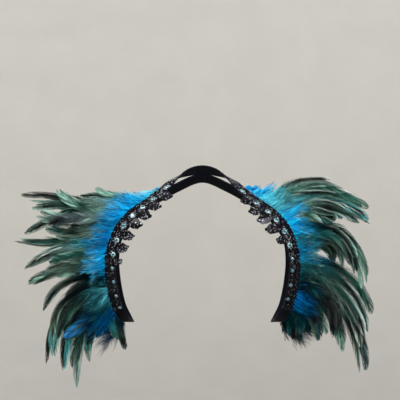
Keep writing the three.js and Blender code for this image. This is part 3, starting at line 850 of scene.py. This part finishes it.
class SewSeedBeads(bpy.types.Operator):
    """Sew the seed beads: rows on the edges, rings round the stones, scrolls and filling"""

    bl_idname = "collar.sew_seed_beads"
    bl_label = "Seed beads"

    def execute(self, context):
        band, trim = context.scene.collar_band, context.scene.collar_trim
        finish = bead_finish("seed_bead")
        for side in ("left", "right"):
            rng = np.random.default_rng(SIDE_SEED[side] + 2)
            places, tints = [], []
            for spots, plum, steel_glint in self.patterns(band, trim, side):
                places.append(spots)
                tints.append(lustre(trim, rng, len(spots), plum, steel_glint))
            for spots, share in self.rings(band, trim, side):
                places.append(spots)
                # Pale ring beads: partly aqua beads, and white as painted glints round the stone.
                pale = mix(trim.aqua, trim.painted_glint, rng.uniform(0, 1, len(spots)))
                tints.append(np.where(rng.uniform(size=(len(spots), 1)) < share, pale, np.array(trim.jet)))
            taken = np.concatenate(places)
            filling = self.filling(band, trim, side, taken, rng)
            places.append(filling)
            tints.append(lustre(trim, rng, len(filling), 0.16, 0.14))
            places, tints = np.concatenate(places), np.concatenate(tints)
            # Painted shade: all beads darker towards under the arm.
            tints = tints * np.interp(places[:, 0], BEADS_PAINTED_SHADE, (1, 0.35))[:, None]
            radii = trim.seed * rng.uniform(0.82, 1.08, len(places))
            joined = Joined()
            centres = ROUTE.place(places[:, 0], places[:, 1], band.thick / 2 + 0.75 * radii)
            add_balls(joined, centres, radii, tints)
            piece = joined.piece(f"seed_beads_{side}", [finish], mirror=side == "right", smooth=True)
            fit(piece, "leaf")
        return {"FINISHED"}

    def patterns(self, band, trim, side):
        """Sets of places along and across the band, with their shares of plum and steel beads."""
        pitch = BEAD_PITCH * trim.seed
        run = np.arange(BEADED_FROM, BEADED_TO, pitch)
        yield np.column_stack([run, 0 * run + band.outer - PLAIN_EDGE]), 0.12, 0.2
        yield np.column_stack([run, 0 * run - band.inner + 1.4 * MM]), 0.12, 0.2
        rows = stone_rows(side)
        for (at, _), (after, _) in zip(rows, rows[1:]):
            turn = np.linspace(0.2, 1.0, SCROLL_BEADS)
            for flip in (1, -1):
                angle = flip * turn * SCROLL_TURN
                spiral = np.column_stack([np.cos(angle), np.sin(angle)]) * (turn * SCROLL_RADIUS)[:, None]
                along, across = (flip * apart for apart in SCROLL_APART)
                middle = ((at + after) / 2 + along, across + SCROLL_ACROSS)
                yield spiral + middle, 0.2, 0.3

    def rings(self, band, trim, side):
        """Places round each stone, without those that hang over the edge, and the share of pale beads, whose
        tints from aqua to white are partly the beads' aqua and partly painted glints.
        """
        for at, size in stone_rows(side):
            radius = MM * size.girdle + SETTING_RIM + trim.seed * 0.9
            ring = circle(int(2 * math.pi * radius / (BEAD_PITCH * trim.seed)), radius) + (at, STONE_ACROSS)
            yield ring[ring[:, 1] > 0.8 * MM - band.inner], 0.45 if size is LARGE_STONE else 0.06

    def filling(self, band, trim, side, taken, rng):
        """Loose beads wherever the patterns leave room, clear of the stones."""
        stones = [(at, STONE_ACROSS, MM * size.girdle + SETTING_RIM) for at, size in stone_rows(side)]
        spots = np.column_stack([rng.uniform(BEADED_FROM, BEADED_TO, FILLING_TRIES),
                                 rng.uniform(1.2 * MM - band.inner, band.outer - PLAIN_EDGE, FILLING_TRIES)])
        for at, across, radius in stones:
            spots = spots[np.hypot(spots[:, 0] - at, spots[:, 1] - across) > radius + 0.8 * trim.seed]
        kept = list(taken)
        found = []
        for spot in spots:
            near = np.array(kept)
            if np.min(np.hypot(near[:, 0] - spot[0], near[:, 1] - spot[1])) > 1.75 * trim.seed:
                kept.append(spot)
                found.append(spot)
        return np.array(found)


def bezier(control, share):
    share = np.asarray(share)[..., None]
    return (1 - share) ** 2 * control[0] + 2 * share * (1 - share) * control[1] + share ** 2 * control[2]


def bezier_way(control, share):
    share = np.asarray(share)[..., None]
    return unit((1 - share) * (control[1] - control[0]) + share * (control[2] - control[1]))


def down_tint(settings, side, at):
    """The tint of the down at each distance from the nape, with the painted light and shade of its rows; the
    back is like the front.
    """
    rows = DOWN_ROWS[side]
    tints = np.array([np.array(getattr(settings, row.tint)) * row.light for row in rows])
    near = np.minimum(at, ROUTE.side - at) / MM
    return np.stack([np.interp(near, [row.at for row in rows], tint) for tint in tints.T], -1)


class Feather:
    """One rooster feather: its spine, the way its flat side looks, its width and its tints."""

    LOOSE = (0.12, 0.44)  # the share of its length over which loose barbs turn into a firm vane
    STATIONS = ((0.0, 0.0), (0.45, 0.28), (0.8, 0.68), (1.0, 1.0))  # out from the quill, and its bend
    BUNCH = 4  # clumps of barbs that share one shade, as a streak
    QUILL = (0.7 * MM, 0.16 * MM)  # its radius at the root and near the tip
    QUILL_STATIONS = 10
    WISP_LONG = (12, 28)  # millimetres

    def __init__(self, control, facing, wide, point, tints, rng):
        self.control, self.facing = control, facing
        self.half, self.point, self.tints, self.rng = wide / 2, point, tints, rng
        self.cup = rng.uniform(0.1, 0.45)
        self.twist = rng.normal(0, 0.3)
        self.wave = rng.normal(0, 0.012) * np.linalg.norm(control[2] - control[0])
        self.barb_sweep = rng.uniform(0.2, 0.32)
        self.shine = math.exp(rng.normal(0, 0.15))
        self.core = rng.uniform(0.3, 0.9)
        self.edges = rng.permutation([rng.uniform(0.6, 1.0), rng.uniform(0.0, 0.5)])

    def outline(self, share):
        """Half the width at each share of the length."""
        rise = 0.4 + 0.6 * smooth_step(0.0, 0.36, share)
        close = 0.88 - 0.3 * self.point
        rest = np.clip((share - close) / (1 - close), 0, 1)
        return self.half * rise * (1 - rest ** (2.4 - 1.0 * self.point)) ** (0.5 + 0.3 * self.point)

    def frame(self, share):
        way = bezier_way(self.control, share)
        side = unit(np.cross(np.broadcast_to(self.facing, way.shape), way))
        normal = np.cross(way, side)
        turn = (self.twist * share)[..., None]
        return side * np.cos(turn) + normal * np.sin(turn), normal * np.cos(turn) - side * np.sin(turn)

    def spine(self, share, side):
        return bezier(self.control, share) + side * (self.wave * np.sin(2 * math.pi * share))[..., None]

    def tint(self, share, out, edge):
        root, dyed, body, tip, rim = self.tints
        shown = mix(mix(root, dyed, smooth_step(0.1, 0.3, share)), body, smooth_step(0.3, 0.55, share))
        shown = mix(shown, tip, smooth_step(0.55, 0.85, share))
        shown = mix(shown, rim, edge * smooth_step(0.55, 1.0, out) * smooth_step(0.25, 0.5, share))
        return shown * (self.core + (1 - self.core) * out)[..., None] * self.shine

    def add_to(self, joined, barbs, wisps):
        for flip, edge in zip((1, -1), self.edges):
            self.add_vane(joined, barbs, flip, edge)
        share = np.linspace(0, 0.97, self.QUILL_STATIONS)
        side, normal = self.frame(share)
        section = circle(3)[None] * np.linspace(*self.QUILL, self.QUILL_STATIONS)[:, None, None]
        points, faces = sweep(self.spine(share, side), side, normal, section)
        quill = self.tint(share, 0 * share, 0) * 0.7
        joined.add(points, faces, quill[:, None])
        self.add_wisps(joined, wisps)

    def add_vane(self, joined, barbs, flip, edge):
        rng = self.rng
        stops = np.linspace(0.03, 1.0, barbs + 1)
        low, high = stops[:-1], np.minimum(stops[1:] + 0.3 / barbs, 1.0)
        loose = 1 - smooth_step(*self.LOOSE, low)
        slip = rng.normal(0, 0.005, barbs)
        for _ in range(rng.integers(0, 3)):
            fade = np.arange(barbs) - rng.integers(barbs // 4, barbs)
            slip += np.where(fade >= 0, rng.uniform(0.01, 0.03) * np.exp(-fade / 9), 0)
        reach = np.clip(1 + rng.normal(0, 0.04, barbs), 0.85, 1.1) + loose * rng.uniform(0.0, 0.8, barbs)
        lift = rng.normal(0, 0.1, barbs) * MM + loose * rng.normal(0, 2.4, barbs) * MM
        bunches = np.repeat(rng.normal(0, 0.45, barbs // self.BUNCH + 1), self.BUNCH)[:barbs]
        streak = np.exp(bunches + rng.normal(0, 0.12, barbs) - 0.1)
        base = np.stack([low, high], 1)
        end = np.minimum(base + self.barb_sweep * (1 - base ** 3) + slip[:, None], 1.0)
        end += (end.mean(1, keepdims=True) - end) * 2 * (0.12 + 0.35 * loose[:, None])
        stations = []
        for out, bend in self.STATIONS:
            share = base + (end - base) * bend
            side, normal = self.frame(share)
            width = out * self.outline(end) * reach[:, None]
            rise = lift[:, None] * out - self.cup * out ** 2 * self.outline(end)
            points = self.spine(share, side) + side * (flip * width)[..., None] + normal * rise[..., None]
            tint = self.tint(share, np.full(share.shape, out), edge) * streak[:, None, None]
            row = np.broadcast_to(7.0 * np.arange(barbs)[:, None], share.shape)
            stations.append((points, tint, np.stack([share * 40, row, width * 60], -1) * MM))
        points, tint, grain = (np.stack(values, 1) for values in zip(*stations))
        first = np.arange(barbs)[:, None] * 2 * len(stations)
        order = np.array((0, 1, 3, 2) if flip < 0 else (0, 2, 3, 1))
        faces = [first + 2 * k + order for k in range(len(stations) - 1)]
        joined.add(points.reshape(-1, 3), faces, tint.reshape(-1, 3), grain.reshape(-1, 3))

    def add_wisps(self, joined, wisps):
        """Loose dyed fibres along the lower half, most of them on the side that shows."""
        rng = self.rng
        share = rng.uniform(0, 0.5, wisps)
        side, normal = self.frame(share)
        way = bezier_way(self.control, share)
        swing = side * rng.normal(0, 0.45, (wisps, 1)) + normal * rng.uniform(-0.15, 0.5, (wisps, 1))
        reach = rng.uniform(*self.WISP_LONG, wisps) * MM * (1.15 - share)
        first = self.tint(share, 0 * share, 0) * np.exp(rng.normal(0, 0.3, (wisps, 1)))
        last = self.tint(share + 0.14, 1 + 0 * share, 0) * np.exp(rng.normal(0, 0.2, (wisps, 1)))
        add_fibres(joined, self.spine(share, side), unit(swing + way), swing * 0.5, reach,
                   normal + rng.normal(0, 0.6, (wisps, 3)), (first, last), rng, 1)


FIBRE_WIDTH = 0.24 * MM


def add_fibres(joined, start, way, bend, reach, facing, tints, rng, finish=0):
    """Thin flat fibres that bend back from the way they start, wave a little and end in a point."""
    reach = reach[:, None]
    wide = unit(np.cross(way, facing))
    wave = wide * rng.normal(0, 0.07, reach.shape)
    spine = [start + reach * (way * share - bend * share ** 2 + wave * math.sin(5 * share))
             for share in (0, 0.35, 0.7, 1)]
    wide = wide * FIBRE_WIDTH
    points = np.stack([spine[0] - wide, spine[0] + wide, spine[1] - wide, spine[1] + wide,
                       spine[2] - 0.7 * wide, spine[2] + 0.7 * wide, spine[3]], 1)
    tint = mix(*(value[:, None] for value in tints), np.array([0, 0, 0.35, 0.35, 0.7, 0.7, 1]))
    first = (np.arange(len(points)) * 7)[:, None]
    faces = [first + np.array(corners) for corners in ((0, 1, 3, 2), (2, 3, 5, 4), (4, 5, 6))]
    joined.add(points.reshape(-1, 3), faces, tint.reshape(-1, 3), None, finish)


def lock_spine(lock, outer, back):
    """Where a lock is sewn, its root, middle and tip, and the way its flat side looks."""
    at, ahead, share, turn = lock.at * MM, lock.ahead, 1.0, FEATHER_TURN
    if back:
        at, ahead, share, turn = ROUTE.side - at + BACK_SHIFT, -ahead, BACK_SHARE, -FEATHER_TURN
    root = ROUTE.place(at, outer + FEATHER_ROOT[0], FEATHER_ROOT[1])
    tip = mix(root, (lock.side * MM, root[1] - ahead * MM, lock.height * MM), share)
    straight = tip - root
    upward = unit(np.array([-straight[2], 0, straight[0]]))
    middle = (root + tip) / 2 + 2 * lock.bow * share * MM * upward
    facing = unit(ROUTE.frames(at)[3][0] + (0, -turn, 0))
    return at, np.array([root, middle, tip]), facing


# How dark the feathers are from each place on, in millimetres from the nape: partly painted shade,
# darker under the arm, and partly their own paler and darker dyes. Then the tints of the shorter
# feathers, of the part of each feather between its down and its vane, and of their edges.
SHADES = {"right": {"light": 0, "dark": 278}, "left": {"middle": 0, "dark": 292}}
EXTRA_TINTS = {"light": ("black", "green", "grey", "olive", "green", "grey"),
               "middle": ("black", "green", "green", "black", "olive", "green"),
               "dark": ("black", "green", "black", "black", "olive")}
DYED_TINTS = {"light": ("grey", "mint", "teal", "grey", "cyan", "green"),
              "middle": ("grey", "green", "mint", "teal", "black", "green"),
              "dark": ("petrol", "black", "green", "black", "petrol", "black")}
EDGE_TINTS = {"light": ("mint", "frost", "grey", "black", "olive"),
              "middle": ("mint", "frost", "grey", "black", "frost"),
              "dark": ("black", "grey", "olive", "black", "green")}
SHORTEST = {"light": 0.7, "middle": 0.82, "dark": 0.7}  # shares of the long feather's length


def shade_at(side, at):
    """How dark the feathers are at a distance from the nape, or at each of many: partly painted shade."""
    names, starts = zip(*SHADES[side].items())
    return np.array(names)[np.searchsorted(starts, at, "right") - 1]


class TieFeathers(bpy.types.Operator):
    """Tie the long rooster feathers into the fringe on each side, front and back"""

    bl_idname = "collar.tie_feathers"
    bl_label = "Feathers"

    def execute(self, context):
        settings, outer = context.scene.collar_feathers, context.scene.collar_band.outer
        finishes = [vane_finish(), down_finish()]
        for side in ("left", "right"):
            rng = np.random.default_rng(SIDE_SEED[side] + 3)
            for face in ("front", "back"):
                joined = Joined()
                for lock in LOCKS[side]:
                    self.add_lock(joined, settings, outer, side, lock, face == "back", rng)
                piece = joined.piece(f"feathers_{side}_{face}", finishes, side == "right", True)
                fit(piece, "feathers", f"feather_fringe_{side}")
        return {"FINISHED"}

    def add_lock(self, joined, settings, outer, side, lock, back, rng):
        at, control, facing = lock_spine(lock, outer, back)
        # The root tint holds the down's painted light and shade, and the shade zone picks darker tints under
        # the arm, partly as painted shade.
        dyed = down_tint(settings, side, at)
        shade = shade_at(side, lock.at)
        names = (lock.body if shade == "dark" else rng.choice(DYED_TINTS[shade]), *lock[-3:])
        shape = (0.97 * lock.wide * MM, lock.point)
        self.add_feather(joined, settings, control, facing, shape, dyed, names, rng)
        for _ in range(settings.extra - back):
            share = rng.uniform(SHORTEST[shade], 1.02)
            shorter = self.shorter_spine(control, at, outer, facing, share, rng)
            body, tip = rng.choice(EXTRA_TINTS[shade] + (lock.body, lock.tip), 2)
            edge = rng.choice(EDGE_TINTS[shade])
            names = (rng.choice(DYED_TINTS[shade]), body, tip, edge)
            shape = (rng.uniform(0.55, 0.9) * lock.wide * MM, rng.uniform(0.0, 0.7))
            tilted = unit(facing + rng.normal(0, 0.2, 3))
            self.add_feather(joined, settings, shorter, tilted, shape, dyed, names, rng)

    def shorter_spine(self, control, at, outer, facing, share, rng):
        """The spine of a shorter feather behind a long one, which follows part of its curve."""
        beyond = outer + FEATHER_ROOT[0] + rng.uniform(-5, 4) * MM
        start = ROUTE.place(at + rng.normal(0, 4) * MM, beyond, FEATHER_ROOT[1])
        start = start - facing * rng.uniform(1, 5) * MM
        stray = rng.normal(0, (3, 3, 5), 3) * MM - facing * rng.uniform(0, 7) * MM
        middle = mix(control[0], control[1], share) + 0.6 * (start - control[0]) + 0.7 * stray
        return np.array([start, middle, bezier(control, share) + stray])

    def add_feather(self, joined, settings, control, facing, shape, dyed, names, rng):
        tints = [dyed] + [np.array(getattr(settings, name)) for name in names]
        long = np.linalg.norm(control[2] - control[0])
        barbs = max(16, int(settings.barbs * long / (180 * MM)))
        Feather(control, facing, *shape, tints, rng).add_to(joined, barbs, settings.wisps)


DOWN_FIRST, DOWN_LAST = 0.115, 0.87  # shares of the way round an armhole between which it grows
DOWN_SPLAY = (44, 8)  # degrees that it leans out from the body, under the arm and on the shoulder
DOWN_ROOTS, DOWN_DEPTH = (-2, 6), (-2, 4)  # millimetres beyond the band's edge, and through the row
DROP_SPREAD = 17  # degrees that the tufts stray up and down


class TieDown(bpy.types.Operator):
    """Tie the blue down along the outer edge of the band"""

    bl_idname = "collar.tie_down"
    bl_label = "Blue down"

    def execute(self, context):
        settings, outer = context.scene.collar_feathers, context.scene.collar_band.outer
        finish = down_finish()
        for side in ("left", "right"):
            rng = np.random.default_rng(SIDE_SEED[side] + 4)
            joined = Joined()
            self.add_tufts(joined, settings, outer, side, rng)
            piece = joined.piece(f"down_{side}", [finish], mirror=side == "right")
            fit(piece, "feathers", f"feather_fringe_{side}")
        return {"FINISHED"}

    def add_tufts(self, joined, settings, outer, side, rng):
        tufts, fibres = settings.tufts, settings.fibres
        place = rng.uniform(DOWN_FIRST, DOWN_LAST, tufts)
        middle, along, across, out = ROUTE.frames(place * ROUTE.side)
        splay = np.radians(np.interp(out[:, 2], (-1, 1), DOWN_SPLAY))[:, None]
        lean = across * np.cos(splay) + out * np.sin(splay)
        thick = np.cross(along, lean)
        ends = np.minimum(place - DOWN_FIRST, DOWN_LAST - place)
        near = np.minimum(place, 1 - place) * ROUTE.side / MM
        places, lengths, drops, aheads = zip(*(row[:4] for row in DOWN_ROWS[side]))
        long = np.interp(near, places, lengths) * MM
        long = long * rng.uniform(0.45, 1.0, tufts) * (0.5 + 0.5 * smooth_step(0, 0.07, ends))
        root = (middle + across * (outer + rng.uniform(*DOWN_ROOTS, (tufts, 1)) * MM)
                + thick * rng.uniform(*DOWN_DEPTH, (tufts, 1)) * MM)
        drop = np.radians(np.interp(near, places, drops) + rng.normal(0, DROP_SPREAD, tufts))
        axis = np.stack([np.cos(drop), 0 * drop, -np.sin(drop)], 1)
        ahead = np.interp(near, places, aheads) + rng.normal(0, 0.16, tufts)
        axis = unit(axis + 0.3 * lean + out * ahead[:, None])
        curl = along * rng.normal(0, 0.22, (tufts, 1)) + thick * rng.normal(0, 0.12, (tufts, 1))
        # The down's tint by place holds the painted light and shade of its rows; the random brightness of
        # each tuft is partly painted shade in the gaps between tufts, and the wisps' tints darken under the
        # arm, partly as painted shade.
        tuft = down_tint(settings, side, place * ROUTE.side + rng.normal(0, 6, tufts) * MM)
        tuft = tuft * np.exp(np.clip(rng.normal(0, 0.28, (tufts, 1)), -0.6, 0.4))
        dyed = [rng.choice(DYED_TINTS[shade]) for shade in shade_at(side, near)]
        wisp = np.array([getattr(settings, name) for name in dyed])

        axis, curl, along, thick, root, tuft, wisp, long = (
            np.repeat(value, fibres, 0) for value in (axis, curl, along, thick, root, tuft, wisp, long))
        each = (len(long), 1)
        share = rng.uniform(0, 0.7, each)
        angle = rng.uniform(0, 2 * math.pi, each)
        spread = (along * np.cos(angle) + thick * np.sin(angle) * 0.7) * rng.uniform(0.15, 0.95, each)
        start = root + long[:, None] * (axis * share + curl * share ** 2)
        reach = long * rng.uniform(0.25, 0.55, len(long)) * (1.1 - 0.6 * share[:, 0])
        first = mix(tuft, wisp, 0.5 * smooth_step(0.35, 0.8, share[:, 0])) * np.exp(rng.normal(0, 0.16, each))
        last = mix(first, wisp, smooth_step(0.0, 0.6, share[:, 0]) * rng.uniform(0, 1, len(long)))
        add_fibres(joined, start, unit(axis + spread), spread * 0.5 - curl * 0.5, reach,
                   thick + rng.normal(0, 0.6, (len(long), 3)), (first, last), rng)


LENS, SENSOR = 116.5, 36.0
CAMERA_PLACE = (-0.00425, -2.29, -0.0544)
AIM = Vector((0, -0.03, -0.17))  # the middle of the collar, at which the lights look
Light = namedtuple("Light", "place size")
LIGHTS = {
    "key": Light((-0.8, -1.7, 2.1), 1.5),
    "fill": Light((1.9, -1.7, 0.5), 1.6),
    "back": Light((0.5, 1.9, 1.5), 1.4),
}
SKY_TINT = (1.0, 0.99, 0.975, 1)
FLOOR_RINGS = (0.001, 1.0, 2.2)  # radii on the flat part of the floor
BACKDROP_BEND, BACKDROP_SIDES = 0.9, 96
# Painted light and shade on the backdrop: its tint darker at the floor and lighter towards the top.
BACKDROP_PAINTED_SHADE = (0.82, 1.0, 1.14)  # at the floor, at the nape's height and at the top


class MakeStage(bpy.types.Operator):
    """Make the pale floor and backdrop, the soft lights and the camera"""

    bl_idname = "collar.make_stage"
    bl_label = "Stage"

    def execute(self, context):
        stage, scene = context.scene.collar_stage, context.scene
        self.make_backdrop(stage)
        for name, light in LIGHTS.items():
            self.add_light(f"{name}_light", *light, getattr(stage, name))
        world = bpy.data.worlds.new("soft_sky")
        world.use_nodes = True
        background = world.node_tree.nodes["Background"]
        background.inputs["Color"].default_value = SKY_TINT
        background.inputs["Strength"].default_value = stage.sky
        scene.world = world
        scene.view_settings.view_transform = "Standard"
        lens = bpy.data.cameras.new("camera")
        lens.lens, lens.sensor_width = LENS, SENSOR
        camera = bpy.data.objects.new("camera", lens)
        camera.location = CAMERA_PLACE
        camera.rotation_euler = (math.pi / 2, 0, 0)
        scene.collection.objects.link(camera)
        scene.camera = camera
        return {"FINISHED"}

    def add_light(self, name, place, size, power):
        data = bpy.data.lights.new(name, "AREA")
        data.size, data.energy = size, power
        light = bpy.data.objects.new(name, data)
        light.location = place
        light.rotation_euler = (AIM - Vector(place)).to_track_quat("-Z", "Y").to_euler()
        light.visible_camera = False
        bpy.context.scene.collection.objects.link(light)

    def make_backdrop(self, stage):
        """A round floor that sweeps up into a wall all round."""
        bend, flat = BACKDROP_BEND, [0] * len(FLOOR_RINGS)
        turns = np.linspace(0, math.pi / 2, 13)
        radius = np.array([*FLOOR_RINGS, *(stage.reach - bend + bend * np.sin(turns)), stage.reach])
        height = np.array([*flat, *(bend - bend * np.cos(turns)), stage.floor + stage.rise])
        level = height - stage.floor
        points = np.stack([np.column_stack([circle(BACKDROP_SIDES, wide), np.full(BACKDROP_SIDES, high)])
                           for wide, high in zip(radius, level)])
        index, walls = ring_walls(points)
        joined = Joined()
        # The backdrop's tint is painted darker at the floor and lighter at the top, as painted shade and
        # light.
        shade = np.interp(level, (-stage.floor, 0, stage.rise), BACKDROP_PAINTED_SHADE)[:, None, None]
        joined.add(points, [walls, index[:1]], np.array(stage.paper) * shade)
        paper = tinted_finish("pale_paper", 0.03, (0.85, 0.95), 6, 0.2 * MM, Specular_IOR_Level=0.1)
        joined.piece("backdrop", [paper], smooth=True)


MAKERS = (MakeStage, MakeBand, SewLeaves, SetStones, SewSeedBeads, TieFeathers, TieDown)


class CollarPanel(bpy.types.Panel):
    """Lists the collar's pieces and their sizes and colours"""

    bl_idname = "VIEW3D_PT_feather_collar"
    bl_label = "Feather Collar"
    bl_space_type = "VIEW_3D"
    bl_region_type = "UI"
    bl_category = "Collar"

    def draw(self, context):
        for maker in MAKERS:
            self.layout.operator(maker.bl_idname)
        for name in SETTINGS:
            settings = getattr(context.scene, name)
            box = self.layout.box()
            for key in settings.bl_rna.properties.keys():
                if key not in ("rna_type", "name"):
                    box.prop(settings, key)


SETTINGS = {
    "collar_band": CollarBandSettings,
    "collar_trim": CollarTrimSettings,
    "collar_feathers": CollarFeatherSettings,
    "collar_stage": CollarStageSettings,
}
CLASSES = (*SETTINGS.values(), *MAKERS, CollarPanel)


def register():
    for cls in CLASSES:
        bpy.utils.register_class(cls)
    for name, group in SETTINGS.items():
        setattr(bpy.types.Scene, name, PointerProperty(type=group))


def unregister():
    for name in SETTINGS:
        delattr(bpy.types.Scene, name)
    for cls in reversed(CLASSES):
        bpy.utils.unregister_class(cls)


def main():
    register()
    bpy.ops.collar.make_stage()
    bpy.ops.collar.make_band()
    bpy.ops.collar.sew_leaves()
    bpy.ops.collar.set_stones()
    bpy.ops.collar.sew_seed_beads()
    bpy.ops.collar.tie_feathers()
    bpy.ops.collar.tie_down()
    bpy.context.view_layer.update()


if __name__ == "__main__":
    main()
